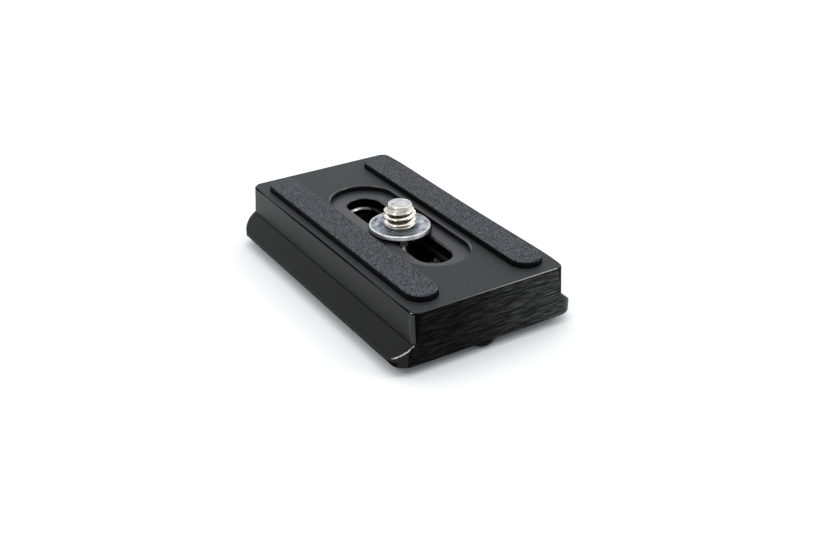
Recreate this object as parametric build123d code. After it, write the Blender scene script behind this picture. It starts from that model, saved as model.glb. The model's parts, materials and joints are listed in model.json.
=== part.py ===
"""Tripod quick release plate with a sliding camera screw.

Millimetres. X runs across the plate, Y along it and Z up. Z = 0 is the table that the plate stands on,
under the middle of the plate.
"""

import os
from math import radians, tan

from build123d import *

# Plate: a plain block on two flared clamping rails
plate_length = 64.0
plate_thickness = 10.45
block_width = 33.3
block_top_corner_radius = 2.0
block_root_corner_radius = 1.1
rail_overhang = 3.35
rail_flank_angle = 43.0
rail_lip_height = 1.3
rail_lip_land = 0.1
rail_top_radius = 0.8
rail_corner_radius = 3.7
edge_break = 0.3

# Stepped slot: recess for the washer, slot for the thread, guide for the neck, pocket for the head
recess_depth = 1.25
recess_side_clearance = 0.65
recess_end_clearance = 0.45
recess_edge_break = 0.3
slot_depth = 2.15
slot_edge_break = 0.35
guide_depth = 1.4
guide_edge_break = 0.35
slide_side_clearance = 0.45
slide_end_clearance = 0.15
pocket_end_wall = 9.0
pocket_clearance = 0.8

# Rubber strips in shallow grooves
strip_thickness = 2.0
strip_groove_depth = 0.8
strip_side_margin = 1.9
strip_recess_margin = 1.25
strip_end_margin = 2.6
strip_clearance = 0.1
strip_edge_break = 0.2

# Camera screw, quarter inch thread
thread_diameter = 6.35
thread_reach = 4.65
thread_tip_chamfer = 1.15
thread_tip_length = 1.55
neck_diameter = 5.1
flange_diameter = 14.0
flange_thickness = 1.4
boss_diameter = 9.4
head_edge_chamfer = 0.3
head_play = 1.2
coin_slot_width = 1.8
coin_slot_depth = 1.4
screw_offset = -0.95

# Washer that keeps the screw in the slot
washer_diameter = 12.7
washer_thickness = 0.8
washer_lift = 0.62
washer_clearance = 0.08
washer_edge_break = 0.2

# Folding wire ring in the head
ring_wire_diameter = 2.4
ring_side_gap = 0.3
ring_straight = 0.3
ring_bend_allowance = 0.1
ring_pin_depth = 2.0
ring_headroom = 0.5
ring_clearance = 0.06

# Stop screws, M3 with a round head
stop_thread_diameter = 3.0
stop_thread_length = 6.0
stop_head_diameter = 5.7
stop_head_height = 2.0
stop_head_rim = 0.5
stop_head_flat_diameter = 3.4
stop_socket_width = 2.0
stop_socket_depth = 1.0
stop_edge_distance = 3.1
stop_hole_clearance = 0.05
stop_hole_spare = 0.5

# Levels that follow from the stack of pieces
plate_bottom = stop_head_height
plate_top = plate_bottom + plate_thickness
ledge_level = plate_top - recess_depth
guide_level = ledge_level - slot_depth
pocket_roof = guide_level - guide_depth
rail_width = block_width + 2 * rail_overhang
rail_nose = plate_bottom + rail_lip_height
rail_root = rail_nose + rail_overhang * tan(radians(rail_flank_angle))
rail_top_setback = rail_top_radius * tan(radians(90.0 - rail_flank_angle) / 2)
rail_bottom_radius = rail_lip_height - rail_top_setback - rail_lip_land

# Ring and screw head
ring_wire_radius = ring_wire_diameter / 2
ring_half_width = boss_diameter / 2 + ring_side_gap + ring_wire_radius
ring_bend_radius = ring_wire_radius + ring_bend_allowance
ring_leg = ring_bend_radius + ring_straight
ring_reach = ring_leg + ring_half_width + ring_wire_radius
flange_top = pocket_roof - head_play
flange_bottom = flange_top - flange_thickness
ring_pivot = flange_bottom - ring_headroom - ring_wire_radius
head_sweep = max(flange_diameter, 2 * ring_reach)

# Washer seat on the neck, just under the thread
washer_bottom = ledge_level + washer_lift
washer_top = washer_bottom + washer_thickness
thread_start = washer_top + washer_clearance
thread_tip = plate_top + thread_reach

# Slot sizes that follow from what slides in them
pocket_width = head_sweep + 2 * pocket_clearance
pocket_length = plate_length - 2 * pocket_end_wall
slide_travel = pocket_length - pocket_width
recess_width = washer_diameter + 2 * recess_side_clearance

# Strip sizes that follow from the room beside the recess
strip_width = (block_width - recess_width) / 2 - strip_side_margin - strip_recess_margin
strip_length = plate_length - 2 * strip_end_margin
strip_offset = block_width / 2 - strip_side_margin - strip_width / 2
stop_offset = plate_length / 2 - stop_edge_distance


def prism(outline, low, high):
    """Extrude a flat outline from one level up to another."""
    return extrude(Plane.XY.offset(low) * outline, amount=high - low)


def long_slot(length, width):
    """Slot outline with round ends that runs along Y."""
    return SlotOverall(length, width, rotation=90)


def slide_slot(diameter, beside, beyond):
    """Slot outline for a round piece that slides the whole travel, with room beside and beyond it."""
    return long_slot(slide_travel + diameter + 2 * beyond, diameter + 2 * beside)


def flat_edges(solid, level, half_width):
    """Edges that lie at one level and no further from the middle than the half width."""
    chosen = []
    for edge in solid.edges().filter_by_position(Axis.Z, level, level):
        if edge.bounding_box().max.X < half_width and edge.bounding_box().min.X > -half_width:
            chosen.append(edge)
    return chosen


def block_outline(level, corner_radius, growth=0.0):
    """Outline of the block at one level, which may be grown outwards all round."""
    width = block_width + 2 * growth
    length = plate_length + 2 * growth
    return Plane.XY.offset(level) * RectangleRounded(width, length, corner_radius + growth)


def rails():
    """Flared lower part: the flare runs round the block's corners, and the ends are cut off square."""
    half_rail = rail_width / 2
    right = [(half_rail, plate_bottom), (half_rail, rail_nose), (block_width / 2, rail_root)]
    left = [(-x, z) for x, z in reversed(right)]
    section = make_face(Polyline(*right, *left, close=True))
    for (x, z), radius in zip(right, (rail_bottom_radius, rail_top_radius)):
        corners = [v for v in section.vertices() if abs(abs(v.X) - x) < 1e-6 and abs(v.Y - z) < 1e-6]
        section = fillet(corners, radius)
    run = extrude(Plane.XZ * section, amount=plate_length / 2, both=True)
    outline = RectangleRounded(rail_width, plate_length, rail_corner_radius)
    growth = (rail_root - plate_bottom) / tan(radians(rail_flank_angle))
    root = block_outline(rail_root, block_root_corner_radius)
    foot = block_outline(plate_bottom, block_root_corner_radius, growth)
    return run & prism(outline, plate_bottom, rail_root) & loft([root, foot], ruled=True)


def plate_body():
    """Block, rails and every cut in them."""
    root = block_outline(rail_root, block_root_corner_radius)
    top = block_outline(plate_top, block_top_corner_radius)
    body = rails() + loft([root, top], ruled=True)
    body = chamfer(flat_edges(body, plate_top, block_width), edge_break)

    body -= prism(long_slot(pocket_length, pocket_width), plate_bottom, pocket_roof)
    recess = slide_slot(washer_diameter, recess_side_clearance, recess_end_clearance)
    slot = slide_slot(thread_diameter, slide_side_clearance, slide_end_clearance)
    guide = slide_slot(neck_diameter, slide_side_clearance, slide_end_clearance)
    tiers = (
        (recess, ledge_level, plate_top, recess_edge_break),
        (slot, guide_level, ledge_level, slot_edge_break),
        (guide, pocket_roof, guide_level, guide_edge_break),
    )
    for outline, floor, rim, broken in tiers:
        body -= prism(outline, floor, rim)
        body = chamfer(flat_edges(body, rim, outline.bounding_box().max.X + broken), broken)

    groove = long_slot(strip_length + 2 * strip_clearance, strip_width + 2 * strip_clearance)
    hole = Circle(stop_thread_diameter / 2 + stop_hole_clearance)
    hole_top = plate_bottom + stop_thread_length + stop_hole_spare
    for side in (-1, 1):
        body -= Pos(X=side * strip_offset) * prism(groove, plate_top - strip_groove_depth, plate_top)
        body -= Pos(Y=side * stop_offset) * prism(hole, plate_bottom, hole_top)
    return body


def grip_strip(side):
    """Rubber strip from the floor of its groove to above the plate."""
    floor = plate_top - strip_groove_depth
    strip = prism(long_slot(strip_length, strip_width), floor, floor + strip_thickness)
    strip = chamfer(flat_edges(strip, floor + strip_thickness, strip_width), strip_edge_break)
    return Pos(X=side * strip_offset) * strip


def retaining_washer():
    """Round washer on the neck of the screw, with its outer edges broken."""
    disc = prism(Circle(washer_diameter / 2), washer_bottom, washer_top)
    disc = chamfer(disc.edges().filter_by(GeomType.CIRCLE), washer_edge_break)
    disc -= prism(Circle(neck_diameter / 2 + washer_clearance), washer_bottom, washer_top)
    return Pos(Y=screw_offset) * disc


def camera_screw():
    """Screw turned from one bar: thread, neck, flange and head, then cross-drilled and slotted."""
    boss = boss_diameter / 2
    flange = flange_diameter / 2
    thread = thread_diameter / 2
    profile = Polyline(
        (0, 0),
        (boss - head_edge_chamfer, 0),
        (boss, head_edge_chamfer),
        (boss, flange_bottom),
        (flange - head_edge_chamfer, flange_bottom),
        (flange, flange_bottom + head_edge_chamfer),
        (flange, flange_top - head_edge_chamfer),
        (flange - head_edge_chamfer, flange_top),
        (neck_diameter / 2, flange_top),
        (neck_diameter / 2, thread_start),
        (thread, thread_start),
        (thread, thread_tip - thread_tip_length),
        (thread - thread_tip_chamfer, thread_tip),
        (0, thread_tip),
        close=True,
    )
    turned = revolve(Plane.XZ * make_face(profile), Axis.Z)
    drill = Cylinder(ring_wire_radius + ring_clearance, boss_diameter, rotation=(0, 90, 0))
    turned -= Pos(Z=ring_pivot) * drill
    turned -= prism(Rectangle(boss_diameter, coin_slot_width), 0, coin_slot_depth)
    return Pos(Y=screw_offset) * turned


def d_ring():
    """Round wire bent to a D, with its two ends turned into the head. It lies folded towards +Y."""
    pin_end = boss_diameter / 2 - ring_pin_depth
    path = FilletPolyline(
        (-pin_end, 0),
        (-ring_half_width, 0),
        (-ring_half_width, ring_leg),
        radius=ring_bend_radius,
    )
    crown = (0, ring_reach - ring_wire_radius)
    path += ThreePointArc((-ring_half_width, ring_leg), crown, (ring_half_width, ring_leg))
    path += FilletPolyline(
        (ring_half_width, ring_leg),
        (ring_half_width, 0),
        (pin_end, 0),
        radius=ring_bend_radius,
    )
    wire_end = Plane((-pin_end, 0, 0), z_dir=(-1, 0, 0)) * Circle(ring_wire_radius)
    return Pos(Y=screw_offset, Z=ring_pivot) * sweep(wire_end, path=path)


def stop_screw():
    """Round-head screw that hangs head down in the underside of the plate."""
    head = stop_head_diameter / 2
    flat = stop_head_flat_diameter / 2
    rim = stop_head_height - stop_head_rim
    shank = stop_thread_diameter / 2
    shank_top = stop_head_height + stop_thread_length
    outline = Polyline((flat, 0), (0, 0), (0, shank_top), (shank, shank_top), (shank, stop_head_height))
    outline += Polyline((shank, stop_head_height), (head, stop_head_height), (head, rim))
    outline += TangentArc((head, rim), (flat, 0), tangent=(0, -1))
    turned = revolve(Plane.XZ * make_face(outline), Axis.Z)
    socket = RegularPolygon(stop_socket_width / 2, 6, major_radius=False)
    return turned - prism(socket, 0, stop_socket_depth)


def stop_screws():
    """The same screw at both ends of the plate."""
    return Compound([Pos(Y=side * stop_offset) * stop_screw() for side in (-1, 1)])


def main():
    pieces = {
        "plate_body": plate_body(),
        "grip_strip_left": grip_strip(-1),
        "grip_strip_right": grip_strip(1),
        "retaining_washer": retaining_washer(),
        "camera_screw": camera_screw(),
        "d_ring": d_ring(),
        "stop_screws": stop_screws(),
    }
    os.makedirs("parts", exist_ok=True)
    for name, piece in pieces.items():
        export_step(piece, f"parts/{name}.step")


main()
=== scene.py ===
import json
from math import pi, radians

import bmesh
import bpy
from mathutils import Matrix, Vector

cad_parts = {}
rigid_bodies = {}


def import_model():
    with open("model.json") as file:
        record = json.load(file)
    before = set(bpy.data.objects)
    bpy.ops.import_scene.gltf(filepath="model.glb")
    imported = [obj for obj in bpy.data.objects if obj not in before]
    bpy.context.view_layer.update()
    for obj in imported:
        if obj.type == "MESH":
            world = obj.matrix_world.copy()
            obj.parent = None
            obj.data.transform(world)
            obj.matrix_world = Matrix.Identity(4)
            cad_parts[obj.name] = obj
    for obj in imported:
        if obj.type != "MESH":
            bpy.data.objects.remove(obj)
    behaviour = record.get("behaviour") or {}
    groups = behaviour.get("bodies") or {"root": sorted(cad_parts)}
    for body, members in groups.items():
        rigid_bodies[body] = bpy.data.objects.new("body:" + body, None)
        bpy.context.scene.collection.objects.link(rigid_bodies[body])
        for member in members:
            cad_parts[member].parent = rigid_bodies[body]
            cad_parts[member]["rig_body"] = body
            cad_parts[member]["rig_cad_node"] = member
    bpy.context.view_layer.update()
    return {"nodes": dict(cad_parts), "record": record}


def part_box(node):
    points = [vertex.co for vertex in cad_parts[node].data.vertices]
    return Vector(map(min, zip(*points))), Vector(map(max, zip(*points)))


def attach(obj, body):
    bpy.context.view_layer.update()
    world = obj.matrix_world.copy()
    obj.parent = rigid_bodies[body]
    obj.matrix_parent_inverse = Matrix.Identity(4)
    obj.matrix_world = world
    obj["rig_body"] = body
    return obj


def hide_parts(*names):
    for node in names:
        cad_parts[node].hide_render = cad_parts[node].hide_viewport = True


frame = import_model()
mm = 0.001  # pieces are shaped in millimetres and brought to metres when they are done
weldGap = 0.0005  # mm, points that are closer become one
flatAngle = 0.5  # degrees, faces that differ by less become one flat
print("frame loaded:", ", ".join(sorted(frame["nodes"])))


def pick(*pieces):
    # only these pieces are selected, and the last of them is active
    bpy.ops.object.select_all(action="DESELECT")
    for piece in pieces:
        piece.select_set(True)
        bpy.context.view_layer.objects.active = piece


def useModifier(piece, kind, **settings):
    pick(piece)
    modifier = piece.modifiers.new(kind.lower(), kind)
    for key, value in settings.items():
        setattr(modifier, key, value)
    bpy.ops.object.modifier_apply(modifier=modifier.name)


def cutWith(piece, cutter, operation):
    useModifier(piece, "BOOLEAN", operation=operation, solver="EXACT", object=cutter)
    bpy.data.objects.remove(cutter)


def boxInMm(node):
    low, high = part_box(node)
    return low / mm, high / mm


def copyInMm(node, name):
    # a working copy of a solid: its loose triangles are merged and its flats become single faces
    pick(frame["nodes"][node])
    bpy.ops.object.duplicate()
    piece = bpy.context.object
    piece.name = name
    piece.parent = None
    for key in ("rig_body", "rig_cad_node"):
        del piece[key]
    piece.scale = (1 / mm,) * 3
    bpy.ops.object.transform_apply(location=False, rotation=False, scale=True)
    bpy.ops.object.mode_set(mode="EDIT")
    bpy.ops.mesh.select_all(action="SELECT")
    bpy.ops.mesh.customdata_custom_splitnormals_clear()
    bpy.ops.mesh.remove_doubles(threshold=weldGap)
    bpy.ops.mesh.dissolve_limited(angle_limit=radians(flatAngle))
    bpy.ops.object.mode_set(mode="OBJECT")
    return piece


def drawProfile(name, points, place):
    # a line of (radius, height) points, drawn by extruding one vertex
    bpy.ops.object.select_all(action="DESELECT")
    bpy.ops.mesh.primitive_plane_add(size=1, location=place)
    piece = bpy.context.object
    piece.name = name
    bpy.ops.object.mode_set(mode="EDIT")
    bpy.ops.mesh.select_mode(type="VERT")
    bpy.ops.mesh.select_all(action="SELECT")
    bpy.ops.mesh.merge(type="CENTER")
    here = Vector((0, 0, 0))
    for step, (radius, height) in enumerate(points):
        there = Vector((radius, 0, height))
        if step:
            bpy.ops.mesh.extrude_vertices_move(TRANSFORM_OT_translate={"value": there - here})
        else:
            bpy.ops.transform.translate(value=there)
        here = there
    bpy.ops.object.mode_set(mode="OBJECT")
    return piece


def turnProfile(piece, steps):
    # turned all the way round the vertical axis of its place
    pick(piece)
    bpy.ops.object.mode_set(mode="EDIT")
    bpy.ops.mesh.select_all(action="SELECT")
    bpy.ops.mesh.spin(steps=steps, angle=2 * pi, center=piece.location, axis=(0, 0, 1))
    bpy.ops.mesh.select_all(action="SELECT")
    bpy.ops.mesh.remove_doubles(threshold=weldGap)
    bpy.ops.mesh.normals_make_consistent(inside=False)
    bpy.ops.object.mode_set(mode="OBJECT")


def selectFaces(piece, wanted):
    bpy.ops.mesh.select_mode(type="FACE")
    bpy.ops.mesh.select_all(action="DESELECT")
    mesh = bmesh.from_edit_mesh(piece.data)
    for face in mesh.faces:
        face.select_set(wanted(face))
    bmesh.update_edit_mesh(piece.data)


def selectEdges(piece, wanted):
    bpy.ops.mesh.select_mode(type="EDGE")
    bpy.ops.mesh.select_all(action="DESELECT")
    mesh = bmesh.from_edit_mesh(piece.data)
    for edge in mesh.edges:
        edge.select_set(wanted(edge))
    bmesh.update_edit_mesh(piece.data)


def giveSkins(piece, skins):
    # the first skin covers the whole piece
    piece.data.materials.clear()
    for material in skins.values():
        piece.data.materials.append(material)


def assignSkins(piece, skins, areas):
    # each area is a skin's name and a test for the faces that get it, and the last test that fits wins
    pick(piece)
    bpy.ops.object.mode_set(mode="EDIT")
    for skin, wanted in areas:
        selectFaces(piece, wanted)
        piece.active_material_index = list(skins).index(skin)
        bpy.ops.object.material_slot_assign()
    bpy.ops.object.mode_set(mode="OBJECT")


def finishPiece(piece, node, body, smoothAngle):
    # to metres, with its place in its mesh, on its body and in place of its solid
    pick(piece)
    piece.location *= mm
    piece.scale = (mm,) * 3
    bpy.ops.object.transform_apply(location=True, rotation=True, scale=True)
    bpy.ops.object.shade_smooth_by_angle(angle=radians(smoothAngle))
    useModifier(piece, "WEIGHTED_NORMAL", keep_sharp=True)  # flats stay flat up to their rounded edges
    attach(piece, body)
    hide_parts(node)
    print("made", piece.name, "with", len(piece.data.polygons), "faces")


# materials

def linear(hexColour):
    channels = [int(hexColour[i:i + 2], 16) / 255 for i in (1, 3, 5)]
    return [c / 12.92 if c <= 0.04045 else ((c + 0.055) / 1.055) ** 2.4 for c in channels] + [1.0]


def perMetre(size):
    # texture scale for marks of this size in millimetres
    return 1 / (size * mm)


def addNode(tree, kind, settings=None, links=None):
    node = tree.nodes.new(kind)
    for key, value in (settings or {}).items():
        if isinstance(key, int) or key in node.inputs:
            node.inputs[key].default_value = value
        else:
            setattr(node, key, value)
    for key, source in (links or {}).items():
        tree.links.new(source, node.inputs[key])
    return node


def startMaterial(name, settings):
    material = bpy.data.materials.new(name)
    material.use_nodes = True
    tree = material.node_tree
    tree.nodes.clear()
    shader = addNode(tree, "ShaderNodeBsdfPrincipled", settings)
    addNode(tree, "ShaderNodeOutputMaterial", links={"Surface": shader.outputs["BSDF"]})
    place = addNode(tree, "ShaderNodeTexCoord").outputs["Object"]
    return material, tree, shader, place


def dressSurface(tree, shader, tone, relief, look):
    # colour and roughness follow one pattern from dark to light, and the relief the same or another one
    colour = addNode(tree, "ShaderNodeValToRGB", links={"Fac": tone})
    shades = (look["dark"], look["light"])
    for element, position, shade in zip(colour.color_ramp.elements, look["toneReach"], shades):
        element.position = position
        element.color = linear(shade)
    low, high = look["roughReach"]
    onDark, onLight = look["roughness"]
    rough = addNode(
        tree, "ShaderNodeMapRange", {"From Min": low, "From Max": high, "To Min": onDark, "To Max": onLight},
        {"Value": tone},
    )
    bump = addNode(
        tree, "ShaderNodeBump",
        {"Strength": look["strength"], "Distance": look["height"] * mm, "invert": look.get("invert", False)},
        {"Height": relief},
    )
    tree.links.new(colour.outputs["Color"], shader.inputs["Base Color"])
    tree.links.new(rough.outputs["Result"], shader.inputs["Roughness"])
    tree.links.new(bump.outputs["Normal"], shader.inputs["Normal"])
    return colour.outputs["Color"]


# Black anodised aluminium, extruded and bead blasted: a dyed oxide skin, nearly black, with an even
# satin sheen that takes its tone from what it mirrors, and a blast grain that is only just felt.
# The ends carry fine mill lines, with a painted reflection that makes them shine more towards one side.
# The top is blasted duller, and it and the floor of the recess are drawn paler in a painted lighter tone.
# The rims of recess and slot carry a painted highlight, some edges a painted sheen, and the front left rail
# end and the ends of the slot's lowest step a painted glint on bare metal. Other edges, the root of the
# flares, the lowest part of the rails' noses and the walls of the slot carry painted shade: a blacker skin.
anodisedLook = {
    "grain": 0.3,  # mm, blast pits, drawn coarser than they are so that they show
    "toneReach": (0.35, 0.7),  # where in the noise the dark ends and the light begins
    "roughReach": (0.0, 1.0),  # where in it the roughness begins to change and where it ends
    "strength": 0.5,  # of the relief
}
# height is in millimetres, and the roughness is on the dark and on the light
anodisedSkins = {
    "blasted": {
        "dark": "#080808", "light": "#121111", "sheen": 0.125, "roughness": (0.32, 0.42), "height": 0.006,
    },
    "milled": {
        "dark": "#030303", "light": "#0c0c0c", "roughness": (0.36, 0.46), "height": 0.02,
        "grain": 0.14,  # mm between mill lines
        "lineLength": 2.8,  # mm
        "lineReach": (0.48, 0.7),  # where in the noise a line begins to shine and where it shines most
        "sheen": (0.03, 0.3),  # between the lines and on them
        "growthReach": (-6.4, 16.0),  # mm from the middle of an end face, between which the painted shine grows
        "growth": (0.46, 3.0),  # times the sheen, before that stretch and after it: a painted reflection, brighter towards one side
        "stretch": 0.85,  # how far the lines draw out what they mirror
        "turn": 0.25,  # of a full turn, so that they draw it out upwards and downwards
    },
    # the floor of the recess is drawn paler: a painted lighter tone
    "floor": {
        "dark": "#1e1e1f", "light": "#2c2c2d", "sheen": 0.32, "roughness": (0.36, 0.46), "height": 0.006,
    },
    # painted sheen: a shinier skin where highlights fall on the top end edges and on the corners
    "paintedSheen": {
        "dark": "#0b0b0b", "light": "#161616", "sheen": 0.3, "roughness": (0.16, 0.22), "height": 0.002,
    },
    # painted shade: a near black skin for the crease, the slot's walls, the silhouette and edges turned from
    # the light
    "paintedShade": {
        "dark": "#010101", "light": "#040404", "sheen": 0.02, "roughness": (0.4, 0.5), "height": 0.002,
    },
    # the top is blasted duller, and drawn paler than the sides: a painted lighter tone where light falls from
    # above
    "top": {
        "dark": "#242427", "light": "#2f2f32", "sheen": 0.13, "roughness": (0.5, 0.6), "height": 0.008,
    },
    # painted highlight: a paler, shinier skin for the rims of recess and slot
    "rim": {
        "dark": "#202021", "light": "#2c2c2d", "sheen": 0.5, "roughness": (0.26, 0.34), "height": 0.002,
    },
}


def anodisedSkin(kind):
    look = {**anodisedLook, **anodisedSkins[kind]}
    isMilled = kind == "milled"
    material, tree, shader, place = startMaterial(kind + "BlackAnodised", {"IOR": 1.6})
    if isMilled:
        # long thin noise that runs along the end face
        across = addNode(tree, "ShaderNodeSeparateXYZ", links={"Vector": place}).outputs["X"]
        longer = (look["grain"] / look["lineLength"], 1, 1)
        place = addNode(tree, "ShaderNodeMapping", {"Scale": longer}, {"Vector": place}).outputs["Vector"]
    grain = addNode(
        tree, "ShaderNodeTexNoise", {"Scale": perMetre(look["grain"]), "Detail": 3.0, "Roughness": 0.6},
        {"Vector": place},
    ).outputs["Fac"]
    dressSurface(tree, shader, grain, grain, look)
    if not isMilled:
        shader.inputs["Specular IOR Level"].default_value = look["sheen"]
        return material
    # some lines shine more than others, and a painted reflection makes them shine more towards one side
    begin, full = look["lineReach"]
    low, high = look["sheen"]
    shine = addNode(
        tree, "ShaderNodeMapRange", {"From Min": begin, "From Max": full, "To Min": low, "To Max": high},
        {"Value": grain},
    )
    begin, end = look["growthReach"]
    least, most = look["growth"]
    growth = addNode(
        tree, "ShaderNodeMapRange",
        {"From Min": begin * mm, "From Max": end * mm, "To Min": least, "To Max": most}, {"Value": across},
    )
    level = addNode(
        tree, "ShaderNodeMath", {"operation": "MULTIPLY"},
        {0: shine.outputs["Result"], 1: growth.outputs["Result"]},
    )
    along = addNode(tree, "ShaderNodeTangent", {"direction_type": "RADIAL", "axis": "Z"})
    tree.links.new(level.outputs["Value"], shader.inputs["Specular IOR Level"])
    tree.links.new(along.outputs["Tangent"], shader.inputs["Tangent"])
    shader.inputs["Anisotropic"].default_value = look["stretch"]
    shader.inputs["Anisotropic Rotation"].default_value = look["turn"]
    return material


# Moulded rubber with a pebble grain: charcoal, quite matt, with a cool sheen on the grain's tops.
# The sides come smooth from the mould and are drawn near black as painted shade.
rubberLook = {
    "speck": 0.245,  # mm
    "pebble": 0.343,  # mm
    "toneReach": (0.46, 0.57),  # where in the noise the dark ends and the light begins
    "roughReach": (0.0, 1.0),  # where in it the roughness begins to change and where it ends
    "roughness": (0.62, 0.82),  # on the dark and on the light
    "strength": 0.6,  # of the relief
    "height": 0.05,  # mm
    "invert": True,  # the middle of a pebble is high
}
rubberSkins = {
    "moulded": {"dark": "#030304", "light": "#4f5057", "sheen": 0.28},
    # smooth sides, near black as painted shade
    "smooth": {"dark": "#030303", "light": "#070707", "sheen": 0.1},
}


def gripRubber(kind):
    look = {**rubberLook, **rubberSkins[kind]}
    settings = {"IOR": 1.52, "Specular IOR Level": look["sheen"]}
    material, tree, shader, place = startMaterial(kind + "GripRubber", settings)
    speck = addNode(
        tree, "ShaderNodeTexNoise", {"Scale": perMetre(look["speck"]), "Detail": 2.0, "Roughness": 0.6},
        {"Vector": place},
    )
    pebbles = addNode(tree, "ShaderNodeTexVoronoi", {"Scale": perMetre(look["pebble"])}, {"Vector": place})
    dressSurface(tree, shader, speck.outputs["Fac"], pebbles.outputs["Distance"], look)
    return material


# Plated, drawn and bare metals: bright, with a tint of their own, soft blotches and fine turning or
# drawing marks. The washer is zinc plated steel, with its rim rubbed bright and given a painted highlight,
# and its middle rubbed matt. The camera screw is nickel plated steel, with painted shade at the bottom of
# the thread. The ring is drawn stainless wire, and the cut end of the screw looks the same. The stop
# screws are black oxide steel, nearly black and a little shiny. A few bevels of the plate are bare
# aluminium that carries a painted glint.
metalLook = {
    "toneReach": (0.3, 0.7),  # where in the blotches the dark ends and the light begins
    "roughReach": (0.3, 0.7),  # where in them the roughness begins to change and where it ends
    "strength": 0.5,  # of the relief
}
# blotch, mark and height are in millimetres, and the roughness is on the dark and on the light
metalSkins = {
    "brightZinc": {
        "dark": "#39444a", "light": "#a6aab2", "roughness": (0.44, 0.3),
        "blotch": 1.8, "mark": 0.22, "height": 0.0015,
    },
    "mattZinc": {
        "dark": "#474f57", "light": "#b1b5bc", "roughness": (0.56, 0.4),
        "blotch": 1.6, "mark": 0.22, "height": 0.0015,
    },
    # the washer's rim: rubbed bright, and lighter as a painted highlight
    "rubbedHighlightZinc": {
        "dark": "#a3a5a8", "light": "#d2d3d4", "roughness": (0.36, 0.24),
        "blotch": 0.9, "mark": 0.22, "height": 0.0015,
    },
    "brightNickel": {
        "dark": "#c2b8ab", "light": "#efeae2", "roughness": (0.16, 0.07),
        "blotch": 1.6, "mark": 0.12, "height": 0.0015,
    },
    # painted shade at the bottom of the thread: a darker nickel
    "rootShadeNickel": {
        "dark": "#2a221a", "light": "#7d6d5b", "roughness": (0.26, 0.14),
        "blotch": 0.6, "mark": 0.12, "height": 0.0015,
    },
    "drawnWire": {
        "dark": "#8f9092", "light": "#c4c5c6", "roughness": (0.36, 0.22),
        "blotch": 1.2, "mark": 0.10, "height": 0.002,
    },
    # bare aluminium for the painted glint at the front left rail end and the tip of its corner
    "bareAluminiumGlint": {
        "dark": "#8e8d8a", "light": "#cfcecb", "roughness": (0.4, 0.24),
        "blotch": 0.5, "mark": 0.10, "height": 0.002,
    },
    # bare metal for a painted glint at the ends of the slot's lowest step, fading out towards one side
    "bareGuideGlint": {
        "dark": "#7d7c7a", "light": "#bdbcb9", "roughness": (0.42, 0.26),
        "blotch": 0.5, "mark": 0.10, "height": 0.002,
        "fadeReach": (0.0, 2.6),  # mm from the middle of the slot, between which the painted glint fades out
        "fade": (1.0, 0.03),  # what is left of the tint at both
    },
    "blackOxide": {
        "dark": "#060606", "light": "#101011", "roughness": (0.32, 0.2),
        "blotch": 0.8, "mark": 0.12, "height": 0.003,
    },
}


def metalSkin(kind):
    look = {**metalLook, **metalSkins[kind]}
    material, tree, shader, place = startMaterial(kind + "Metal", {"Metallic": 1.0})
    blotch = addNode(
        tree, "ShaderNodeTexNoise", {"Scale": perMetre(look["blotch"]), "Detail": 3.0}, {"Vector": place}
    )
    marks = addNode(
        tree, "ShaderNodeTexNoise", {"Scale": perMetre(look["mark"]), "Detail": 2.0}, {"Vector": place}
    )
    tint = dressSurface(tree, shader, blotch.outputs["Fac"], marks.outputs["Fac"], look)
    # the painted glint fades out across the slot
    if "fade" in look:
        begin, end = look["fadeReach"]
        bare, black = look["fade"]
        across = addNode(tree, "ShaderNodeSeparateXYZ", links={"Vector": place}).outputs["X"]
        share = addNode(
            tree, "ShaderNodeMapRange",
            {"From Min": begin * mm, "From Max": end * mm, "To Min": bare, "To Max": black},
            {"Value": across},
        )
        faded = addNode(
            tree, "ShaderNodeVectorMath", {"operation": "SCALE"}, {0: tint, "Scale": share.outputs["Result"]}
        )
        tree.links.new(faded.outputs["Vector"], shader.inputs["Base Color"])
    return material


metals = {kind: metalSkin(kind) for kind in metalSkins}
plateSkins = {kind: anodisedSkin(kind) for kind in anodisedSkins}
for kind in ("bareAluminiumGlint", "bareGuideGlint"):
    plateSkins[kind] = metals[kind]
stripSkins = {kind: gripRubber(kind) for kind in rubberSkins}
washerSkins = {kind: metals[kind] for kind in ("brightZinc", "rubbedHighlightZinc", "mattZinc")}
screwSkins = {kind: metals[kind] for kind in ("brightNickel", "rootShadeNickel", "drawnWire")}
print("materials ready")

# plate

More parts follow.
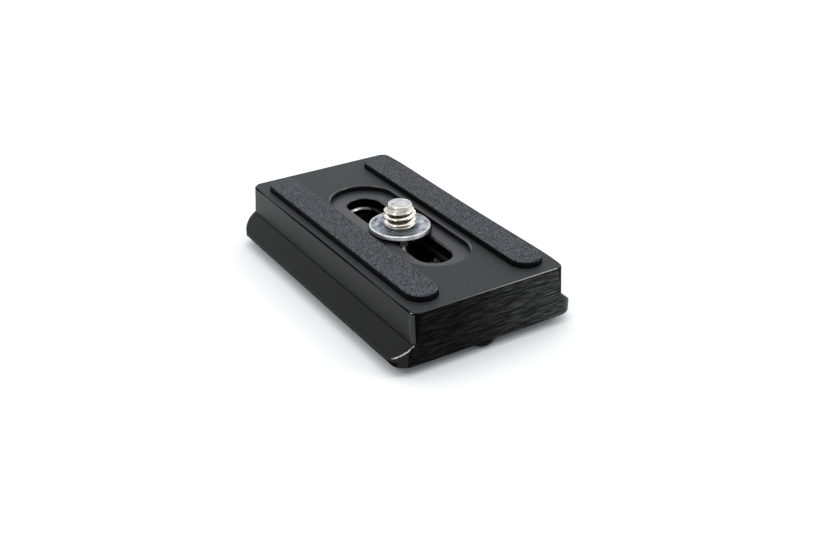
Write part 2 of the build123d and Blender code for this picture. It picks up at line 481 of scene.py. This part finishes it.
plateLook = {
    "glintReach": 4.2,  # mm from the front end in which the left rail's end edge carries the painted glint
    "glintRound": 0.15,  # mm
    "glintEnd": 16.5,  # mm from the middle, where the painted glint runs out
    "glintLow": 3.7,  # mm, where it ends above the nose of the rail
    "glintTip": 1.3,  # mm from the front end in which the top of the corner carries the painted glint too
    "edgeRound": 0.09,  # mm on every other sharp edge
    "roundSteps": 2,
    "sharpAngle": 24,  # degrees
    "smoothAngle": 30,  # degrees
    "topEdge": 0.4,  # mm below the top or another level that counts as its edge
    "topLine": 0.15,  # mm of the end edges below the top that carry painted sheen
    "topBand": 0.1,  # mm in which a level face counts as the top
    "endEdge": 1.0,  # mm from the ends in which an edge counts as theirs
    "endBand": 0.2,  # mm in which a face counts as an end face
    "sideStop": 2.0,  # mm from the ends, where the painted shade on the edges of the sides stops
    "recessDepth": 1.25,  # mm
    "recessBand": (-0.3, 0.1),  # mm round the floor of the recess
    "recessReach": 7.3,  # mm from the middle to just outside the recess
    "recessEnd": 20.4,  # mm, the same along the slot
    "slotReach": 3.7,  # mm from the middle of the slot to just behind its walls
    "slotEnd": 16.6,  # mm, the same along it
    "guideTop": 9.05,  # mm, the lowest step of the slot
    "guideEnd": 13.9,  # mm from the middle, where the ends of the step begin
    "sideReach": 16.0,  # mm, nearly at the block's sides
    "cornerReach": 2.5,  # mm that an upright corner takes up of a side or an end
    "cornerSplit": 16.05,  # mm, where an upright corner changes from painted sheen to painted shade
    "rootLevel": 6.4,  # mm, where the rails' flares end
    "rootLine": 0.08,  # mm of the flare below the block that gets painted shade
    "flareStart": 16.5,  # mm from the middle, inside the flares
    "noseReach": 1.0,  # mm from the outside of a rail in which a face counts as its nose
    "noseLine": 0.95,  # mm of the rails' noses above their underside that get painted shade too
    # upward part of a face's normal: the least, the most or both
    "level": 0.95,
    "tilted": (0.2, 0.95),
    "sloped": (0.3, 0.95),
    "rounded": (0.15, 0.97),
    "upwards": 0.5,
    "upright": 0.3,
    # its part towards a side or an end
    "sidewards": 0.5,
    "endwards": 0.9,
    "cornerwards": (0.1, 0.999),
    "turned": 0.985,
}
plateLow, plateHigh = boxInMm("plate_body")


def within(value, limits):
    low, high = limits
    return low < value < high


def isGlintEdge(edge):
    # at the front left corner, bevelled in bare aluminium for a painted glint: the curved edge between the
    # rail's flare and its end, and the tip of the top edge
    if len(edge.link_faces) != 2 or not edge.is_convex:
        return False
    if edge.calc_face_angle() < radians(plateLook["sharpAngle"]):
        return False
    middle = (edge.verts[0].co + edge.verts[1].co) / 2
    rises = sorted(face.normal.z for face in edge.link_faces)
    toFlare = abs(rises[0]) < plateLook["tilted"][0] and within(rises[1], plateLook["sloped"])
    fromEnd = middle.y - plateLow.y
    railHeights = (plateLook["glintLow"], plateLook["rootLevel"])
    onRail = within(middle.z, railHeights) and middle.x < -plateLook["glintEnd"]
    onBlock = middle.z > plateLook["rootLevel"] and middle.x < -plateLook["sideReach"]
    isNear = onRail and fromEnd < plateLook["glintReach"] or onBlock and fromEnd < plateLook["glintTip"]
    return toFlare and isNear


def isTopEnd(face):
    # bevels along the top of the ends
    middle = face.calc_center_median()
    atTop = middle.z > plateHigh.z - plateLook["topEdge"]
    atEnd = abs(middle.y) > plateHigh.y - plateLook["endEdge"]
    return atTop and atEnd and within(face.normal.z, plateLook["tilted"])


def isTopSide(face):
    # bevels along the top of the sides
    middle = face.calc_center_median()
    atTop = middle.z > plateHigh.z - plateLook["topEdge"]
    atSide = abs(middle.x) > plateLook["sideReach"] and abs(middle.y) < plateHigh.y - plateLook["sideStop"]
    return atTop and atSide and within(face.normal.z, plateLook["tilted"])


def isCorner(face):
    # facets of the block's upright corners
    middle = face.calc_center_median()
    isUpright = abs(face.normal.z) < plateLook["upright"] and middle.z > plateLook["rootLevel"]
    nearSide = abs(middle.x) > plateLook["sideReach"] - plateLook["cornerReach"]
    nearEnd = abs(middle.y) > plateHigh.y - plateLook["cornerReach"]
    return isUpright and nearSide and nearEnd and within(abs(face.normal.y), plateLook["cornerwards"])


def isFlare(face):
    isSloped = within(face.normal.z, plateLook["sloped"]) and abs(face.normal.x) > plateLook["sidewards"]
    return isSloped and abs(face.calc_center_median().x) > plateLook["flareStart"]


def isNose(face):
    toSide = abs(face.normal.x) > plateLook["sidewards"] and face.normal.z < plateLook["upright"]
    return toSide and abs(face.calc_center_median().x) > plateHigh.x - plateLook["noseReach"]


def isPaintedSheen(face):
    # painted sheen on the upper part of the bevels along the ends, and on the part of each upright corner
    # that turns to the side
    middle = face.calc_center_median()
    onTopLine = isTopEnd(face) and middle.z > plateHigh.z - plateLook["topLine"]
    return onTopLine or isCorner(face) and abs(middle.x) > plateLook["cornerSplit"]


def isPaintedShade(face):
    # painted shade on the bevels along the top of the sides, the lower part of those along the ends, the
    # lowest part of the rails' noses, the root of their flares, and the part of each upright corner that
    # turns to the end
    middle = face.calc_center_median()
    underLine = isTopEnd(face) and middle.z < plateHigh.z - plateLook["topLine"]
    inRoot = isFlare(face) and middle.z > plateLook["rootLevel"] - plateLook["rootLine"]
    underNose = isNose(face) and middle.z < plateLow.z + plateLook["noseLine"]
    toEnd = abs(middle.x) < plateLook["cornerSplit"] and abs(face.normal.y) < plateLook["turned"]
    return isTopSide(face) or underLine or inRoot or underNose or isCorner(face) and toEnd


def isSlotWall(face):
    # upright walls of the slot, which get painted shade
    middle = face.calc_center_median()
    inSlot = abs(middle.x) < plateLook["slotReach"] and abs(middle.y) < plateLook["slotEnd"]
    isBelow = middle.z < plateHigh.z - plateLook["recessDepth"] - plateLook["topEdge"]
    return inSlot and isBelow and abs(face.normal.z) < plateLook["upright"]


def isGuideGlint(face):
    # bevels at both ends of the lowest step of the slot, where the neck of the screw stops, with a painted
    # glint
    middle = face.calc_center_median()
    atStep = abs(middle.z - plateLook["guideTop"]) < plateLook["topEdge"]
    atEnd = abs(middle.x) < plateLook["slotReach"] and abs(middle.y) > plateLook["guideEnd"]
    return atStep and atEnd and within(face.normal.z, plateLook["tilted"])


# the floor of the recess gets the paler skin with its painted lighter tone
def isRecessFloor(face):
    level = face.calc_center_median().z - (plateHigh.z - plateLook["recessDepth"])
    return face.normal.z > plateLook["upwards"] and within(level, plateLook["recessBand"])


def isRimHighlight(face):
    # edges of the recess and of the slot in its floor, which get a painted highlight
    middle = face.calc_center_median()
    inRecess = abs(middle.x) < plateLook["recessReach"] and abs(middle.y) < plateLook["recessEnd"]
    depth = plateHigh.z - middle.z
    atLevel = depth < plateLook["topEdge"] or abs(depth - plateLook["recessDepth"]) < plateLook["topEdge"]
    return inRecess and atLevel and within(face.normal.z, plateLook["rounded"])


# the top gets the duller skin with its painted lighter tone
def isTopFace(face):
    atTop = face.calc_center_median().z > plateHigh.z - plateLook["topBand"]
    return atTop and face.normal.z > plateLook["level"]


def isEndFace(face):
    atEnd = abs(face.calc_center_median().y) > plateHigh.y - plateLook["endBand"]
    return atEnd and abs(face.normal.y) > plateLook["endwards"]


plateBody = copyInMm("plate_body", "plateBody")
giveSkins(plateBody, plateSkins)
bpy.ops.object.mode_set(mode="EDIT")
# the front left rail end edge gets a bevel of bare aluminium, a painted glint
selectEdges(plateBody, isGlintEdge)
bpy.ops.mesh.bevel(
    offset=plateLook["glintRound"], segments=plateLook["roundSteps"], affect="EDGES",
    material=list(plateSkins).index("bareAluminiumGlint"),
)
bpy.ops.object.mode_set(mode="OBJECT")
useModifier(
    plateBody, "BEVEL", width=plateLook["edgeRound"], segments=plateLook["roundSteps"], limit_method="ANGLE",
    angle_limit=radians(plateLook["sharpAngle"]), use_clamp_overlap=True, miter_outer="MITER_ARC",
)
# faces that change their look part of the way are cut there
bpy.ops.object.mode_set(mode="EDIT")
for side in (1, -1):
    selectFaces(plateBody, isCorner)
    bpy.ops.mesh.bisect(plane_co=(side * plateLook["cornerSplit"], 0, 0), plane_no=(1, 0, 0))
lineLevels = (
    (isFlare, plateLook["rootLevel"] - plateLook["rootLine"]),
    (isNose, plateLow.z + plateLook["noseLine"]),
    (isTopEnd, plateHigh.z - plateLook["topLine"]),
)
for wanted, level in lineLevels:
    selectFaces(plateBody, wanted)
    bpy.ops.mesh.bisect(plane_co=(0, 0, level), plane_no=(0, 0, 1))
bpy.ops.object.mode_set(mode="OBJECT")
plateAreas = (
    ("milled", isEndFace), ("floor", isRecessFloor), ("paintedSheen", isPaintedSheen), ("paintedShade", isPaintedShade),
    ("paintedShade", isSlotWall), ("top", isTopFace), ("rim", isRimHighlight), ("bareGuideGlint", isGuideGlint),
)
assignSkins(plateBody, plateSkins, plateAreas)
finishPiece(plateBody, "plate_body", "plate", plateLook["smoothAngle"])

# grip strips

stripLook = {
    "cell": 0.16,  # mm between the points of the mesh
    "grain": 0.3,  # mm
    "grainHeight": 0.045,  # mm
    "grainTop": 0.75,  # level of the grain that keeps its height, so that little of it stands out
    "sideDrop": 0.12,  # mm below the top, where the smooth sides with their painted shade begin
    "smoothAngle": 80,  # degrees
}
stripGrain = bpy.data.textures.new("stripGrain", "CLOUDS")
stripGrain.noise_scale = stripLook["grain"]
stripGrain.noise_depth = 1
for side in ("left", "right"):
    node = "grip_strip_" + side
    topLevel = boxInMm(node)[1].z - stripLook["sideDrop"]
    strip = copyInMm(node, "gripStrip" + side.capitalize())
    useModifier(strip, "REMESH", mode="VOXEL", voxel_size=stripLook["cell"])
    useModifier(
        strip, "DISPLACE", texture=stripGrain, texture_coords="LOCAL", strength=stripLook["grainHeight"],
        mid_level=stripLook["grainTop"],
    )
    giveSkins(strip, stripSkins)
    # the sides get the smooth skin with its painted shade
    assignSkins(strip, stripSkins, [("smooth", lambda face: face.calc_center_median().z < topLevel)])
    finishPiece(strip, node, "plate", stripLook["smoothAngle"])

# washer and camera screw, which share an axis, with lengths in millimetres

washerLook = {
    "boreClearance": 0.08,
    "rimWidth": 0.75,
    "rimRise": 0.15,  # the rim stands above the flat middle by this much
    "rimSide": 0.1,  # height of its upright side
    "rimSlope": (0.28, 0.12),  # how far inside and below the top its outer slope ends
    "rimCrest": 0.16,  # from its inside to the top
    "rimFoot": 0.08,  # from its inside to the foot of the inner slope
    "rimRound": 0.12,
    "roundSteps": 4,
    "roundAngle": 15,  # degrees
    "highlightStart": 0.1,  # from the rim's inside to where it is rubbed bright and carries a painted highlight
    "mattReach": 4.9,  # the middle is rubbed matt out to here
    "level": 0.9,  # upward part of a level face's normal
    "steps": 128,
    "smoothAngle": 40,  # degrees
}
screwLook = {
    "pitch": 1.27,  # twenty threads per inch
    "threadDepth": 0.74,
    "crestFlat": 0.16,
    "rootFlat": 0.26,
    "crestRound": 0.05,
    "roundShare": 0.6,  # height of a rounding beside the flank, as a part of its depth
    "rootShare": 0.6,  # part of the root that stays flat
    "crestShare": 0.5,  # part of the crest that does
    "threadStart": 12.70,
    # how far inside the crest and below the end each point of the tip lies
    "tip": [(0.0, 1.55), (0.595, 0.95), (0.835, 0.16), (0.915, 0.05), (1.025, 0.0)],
    "tipMargin": 1.0,  # by which the shape that cuts the tip reaches past the thread, outside and below
    "tipStart": 2.3,  # below the end, where that shape begins to close in
    "firstTurn": 10.685,  # height where the helix is started, which sets where the crests lie
    "turns": 8,
    "threadWeld": 0.001,  # points of the thread that are closer become one
    "threadCut": 0.0001,  # points that are closer to a cut lie on it
    "runOut": 0.7,  # height of the plain collar below the thread
    "collarInset": 0.1,  # of the collar inside the crests, and of its upper end inside the roots
    "collarHeight": 0.2,  # of its upright side
    "rootShadeRise": 0.2,  # part of the flank that the painted shade reaches
    "neckDiameter": 5.1,
    "flangeTop": 6.45,
    "flangeThickness": 1.4,
    "bossDiameter": 9.4,
    "headChamfer": 0.3,
    "ringHole": 1.26,
    "ringSides": 48,
    "ringPivot": 3.35,
    "coinSlotWidth": 1.8,
    "coinSlotDepth": 1.4,
    "edgeRound": 0.08,
    "roundSteps": 2,
    "sharpAngle": 30,  # degrees
    "endBand": 0.02,  # in which a level face counts as the cut end
    "level": 0.9,  # upward part of a level face's normal
    "steps": 96,
    "smoothAngle": 35,  # degrees
}
washerLow, washerHigh = boxInMm("retaining_washer")
screwLow, screwHigh = boxInMm("camera_screw")
axisX, axisY = (screwLow.x + screwHigh.x) / 2, (screwLow.y + screwHigh.y) / 2
screwPlace = (axisX, axisY, 0)
neck = screwLook["neckDiameter"] / 2

bore = neck + washerLook["boreClearance"]
rim = (washerHigh.x - washerLow.x) / 2
rimInside = rim - washerLook["rimWidth"]
flat = washerHigh.z - washerLook["rimRise"]
slopeIn, slopeDown = washerLook["rimSlope"]
washerOutline = [
    (bore, washerLow.z),
    (rim, washerLow.z),
    (rim, washerLow.z + washerLook["rimSide"]),
    (rim - slopeIn, washerHigh.z - slopeDown),
    (rimInside + washerLook["rimCrest"], washerHigh.z),
    (rimInside + washerLook["rimFoot"], flat),
    (washerLook["mattReach"], flat),
    (bore, flat),
]


# the raised rim gets the lighter zinc with its painted highlight
def isRaisedRim(face):
    return face.calc_center_median().xy.length > rimInside + washerLook["highlightStart"]


def isMattMiddle(face):
    isInside = face.calc_center_median().xy.length < washerLook["mattReach"]
    return isInside and face.normal.z > washerLook["level"]


retainingWasher = drawProfile("retainingWasher", washerOutline + washerOutline[:1], screwPlace)
turnProfile(retainingWasher, washerLook["steps"])
useModifier(
    retainingWasher, "BEVEL", width=washerLook["rimRound"], segments=washerLook["roundSteps"],
    limit_method="ANGLE", angle_limit=radians(washerLook["roundAngle"]),
)
giveSkins(retainingWasher, washerSkins)
assignSkins(retainingWasher, washerSkins, (("rubbedHighlightZinc", isRaisedRim), ("mattZinc", isMattMiddle)))
finishPiece(retainingWasher, "retaining_washer", "washer", washerLook["smoothAngle"])

# the screw's head, flange, neck and collar are turned in one piece

threadMount = next(mount for mount in frame["record"]["mounts"] if mount["name"] == "camera_thread")
crest = threadMount["dims"]["r_mm"]
root = crest - screwLook["threadDepth"]
boss = screwLook["bossDiameter"] / 2
flange = (screwHigh.x - screwLow.x) / 2
corner = screwLook["headChamfer"]
flangeTop = screwLook["flangeTop"]
flangeLow = flangeTop - screwLook["flangeThickness"]
threadStart = screwLook["threadStart"]
collar = crest - screwLook["collarInset"]
neckTop = threadStart + screwLook["runOut"]  # the thread fades into a plain collar
screwOutline = [
    (0, screwLow.z),
    (boss - corner, screwLow.z),
    (boss, screwLow.z + corner),
    (boss, flangeLow),
    (flange - corner, flangeLow),
    (flange, flangeLow + corner),
    (flange, flangeTop - corner),
    (flange - corner, flangeTop),
    (neck, flangeTop),
    (neck, threadStart),
    (collar, threadStart),
    (collar, threadStart + screwLook["collarHeight"]),
    (root - screwLook["collarInset"], neckTop),
    (0, neckTop),
]
cameraScrew = drawProfile("cameraScrew", screwOutline, screwPlace)
turnProfile(cameraScrew, screwLook["steps"])

bpy.ops.object.select_all(action="DESELECT")
bpy.ops.mesh.primitive_cylinder_add(
    vertices=screwLook["ringSides"], radius=screwLook["ringHole"], depth=2 * flange, rotation=(0, pi / 2, 0),
    location=(axisX, axisY, screwLook["ringPivot"]),
)
cutWith(cameraScrew, bpy.context.object, "DIFFERENCE")
bpy.ops.object.select_all(action="DESELECT")
bpy.ops.mesh.primitive_cube_add(size=1, location=(axisX, axisY, screwLow.z))
coinSlot = bpy.context.object
coinSlot.scale = (2 * flange, screwLook["coinSlotWidth"], 2 * screwLook["coinSlotDepth"])
cutWith(cameraScrew, coinSlot, "DIFFERENCE")
useModifier(
    cameraScrew, "BEVEL", width=screwLook["edgeRound"], segments=screwLook["roundSteps"],
    limit_method="ANGLE", angle_limit=radians(screwLook["sharpAngle"]),
)

# one pitch of the thread is wound up as a helix and cut to the tip's outline
halfRoot = screwLook["rootFlat"] / 2
halfCrest = screwLook["crestFlat"] / 2
crestRound = screwLook["crestRound"]
roundRise = crestRound * screwLook["roundShare"]
halfPitch = screwLook["pitch"] / 2
flankLow = Vector((root + crestRound, halfRoot + roundRise))
flankHigh = Vector((crest - crestRound, halfPitch - halfCrest - roundRise))
tooth = [
    (root, 0),
    (root, halfRoot * screwLook["rootShare"]),
    flankLow,
    flankLow.lerp(flankHigh, screwLook["rootShadeRise"]),
    flankHigh,
    (crest, halfPitch - halfCrest * screwLook["crestShare"]),
]
tooth = tooth + [(radius, screwLook["pitch"] - height) for radius, height in reversed(tooth)]
thread = drawProfile("thread", tooth, (axisX, axisY, screwLook["firstTurn"]))
useModifier(
    thread, "SCREW", axis="Z", angle=2 * pi, screw_offset=screwLook["pitch"], iterations=screwLook["turns"],
    steps=screwLook["steps"], render_steps=screwLook["steps"], use_merge_vertices=True,
    merge_threshold=screwLook["threadWeld"],
)
pick(thread)
bpy.ops.object.mode_set(mode="EDIT")
bpy.ops.mesh.select_all(action="SELECT")
bpy.ops.mesh.remove_doubles(threshold=screwLook["threadWeld"])
for level, up in ((threadStart, -1), (screwHigh.z, 1)):
    bpy.ops.mesh.select_all(action="SELECT")
    bpy.ops.mesh.bisect(
        plane_co=(axisX, axisY, level), plane_no=(0, 0, up), use_fill=True, clear_outer=True,
        threshold=screwLook["threadCut"],
    )
bpy.ops.mesh.select_all(action="SELECT")
bpy.ops.mesh.normals_make_consistent(inside=False)
bpy.ops.object.mode_set(mode="OBJECT")
outside = crest + screwLook["tipMargin"]
below = threadStart - screwLook["tipMargin"]
tipOutline = [(0, below), (outside, below), (outside, screwHigh.z - screwLook["tipStart"])]
tipOutline += [(crest - inset, screwHigh.z - depth) for inset, depth in screwLook["tip"]]
tipOutline += [(0, screwHigh.z)]
tipEnvelope = drawProfile("tipEnvelope", tipOutline, screwPlace)
turnProfile(tipEnvelope, screwLook["steps"])
cutWith(thread, tipEnvelope, "INTERSECT")
cutWith(cameraScrew, thread, "UNION")

rootShadeReach = root + (crest - root) * screwLook["rootShadeRise"]
rootShadeTop = screwHigh.z - screwLook["tip"][0][1]


# painted shade at the bottom of the thread
def isRootShade(face):
    middle = face.calc_center_median()
    return within(middle.z, (threadStart, rootShadeTop)) and middle.xy.length < rootShadeReach


def isCutEnd(face):
    atEnd = face.calc_center_median().z > screwHigh.z - screwLook["endBand"]
    return atEnd and face.normal.z > screwLook["level"]


giveSkins(cameraScrew, screwSkins)
assignSkins(cameraScrew, screwSkins, (("rootShadeNickel", isRootShade), ("drawnWire", isCutEnd)))
finishPiece(cameraScrew, "camera_screw", "screw", screwLook["smoothAngle"])

# pieces that keep their solids

for node, kind in (("d_ring", "drawnWire"), ("stop_screws", "blackOxide")):
    giveSkins(frame["nodes"][node], {kind: metals[kind]})

# floor, light and camera

studio = {
    "floor": "#f3f3f2",
    "floorSize": 4,  # metres
    "floorRoughness": 0.9,
    "room": "#f2f4f7",
    "roomDark": 0.7,
    "roomBright": 1.6,
    "brightSide": (0.45, 0.4, 0.8),  # direction in which the room is brightest
    "fade": (0.0, 0.85),  # how far towards it the room begins to brighten and where it is brightest
    "softboxes": {  # metres and watts
        "overheadSoftbox": {"place": (0.05, 0.08, 0.8), "size": 0.6, "power": 0.5},
        "leftSoftbox": {"place": (-0.45, -0.07, 0.47), "size": 0.12, "power": 0.55},
        "rightSoftbox": {"place": (0.395, -0.32, 0.452), "size": 0.1, "power": 0.4},
    },
}

# painted board, matt white: it takes soft grey shadows and shows no reflection
floorPaint = startMaterial(
    "mattWhiteFloor", {"Roughness": studio["floorRoughness"], "Base Color": linear(studio["floor"])}
)[0]
bpy.ops.object.select_all(action="DESELECT")
bpy.ops.mesh.primitive_plane_add(size=studio["floorSize"], location=(0, 0, 0))
floor = bpy.context.object
floor.name = "studioFloor"
floor.data.materials.append(floorPaint)

# a white room that is bright above and behind the object and dim around the camera
world = bpy.data.worlds.new("softWhiteRoom")
world.use_nodes = True
bpy.context.scene.world = world
room = world.node_tree
towards = addNode(room, "ShaderNodeTexCoord").outputs["Generated"]
bright = addNode(
    room, "ShaderNodeVectorMath", {"operation": "DOT_PRODUCT", 1: studio["brightSide"]}, {0: towards}
)
fadeStart, fadeEnd = studio["fade"]
glow = addNode(
    room, "ShaderNodeMapRange",
    {
        "interpolation_type": "SMOOTHSTEP", "From Min": fadeStart, "From Max": fadeEnd,
        "To Min": studio["roomDark"], "To Max": studio["roomBright"],
    },
    {"Value": bright.outputs["Value"]},
)
sky = room.nodes["Background"]
sky.inputs["Color"].default_value = linear(studio["room"])
room.links.new(glow.outputs["Result"], sky.inputs["Strength"])

for name, softbox in studio["softboxes"].items():
    aim = (-Vector(softbox["place"])).to_track_quat("-Z", "Y").to_euler()  # at the object
    bpy.ops.object.select_all(action="DESELECT")
    bpy.ops.object.light_add(type="AREA", location=softbox["place"], rotation=aim)
    light = bpy.context.object
    light.name = name
    light.data.shape = "DISK"
    light.data.size = softbox["size"]
    light.data.energy = softbox["power"]

cameraLook = {
    "place": (-0.102031, -0.165404, 0.10757),  # metres
    "tilt": 61.306,  # degrees
    "turn": -32.293,
    "lens": 48.03,  # mm
    "frameWidth": 36,  # mm
    "clipStart": 0.01,  # metres
}
bpy.ops.object.camera_add(
    location=cameraLook["place"], rotation=(radians(cameraLook["tilt"]), 0, radians(cameraLook["turn"]))
)
camera = bpy.context.object
camera.data.sensor_width = cameraLook["frameWidth"]
camera.data.lens = cameraLook["lens"]
camera.data.clip_start = cameraLook["clipStart"]
bpy.context.scene.camera = camera
bpy.context.scene.view_settings.view_transform = "Standard"
print("studio ready")
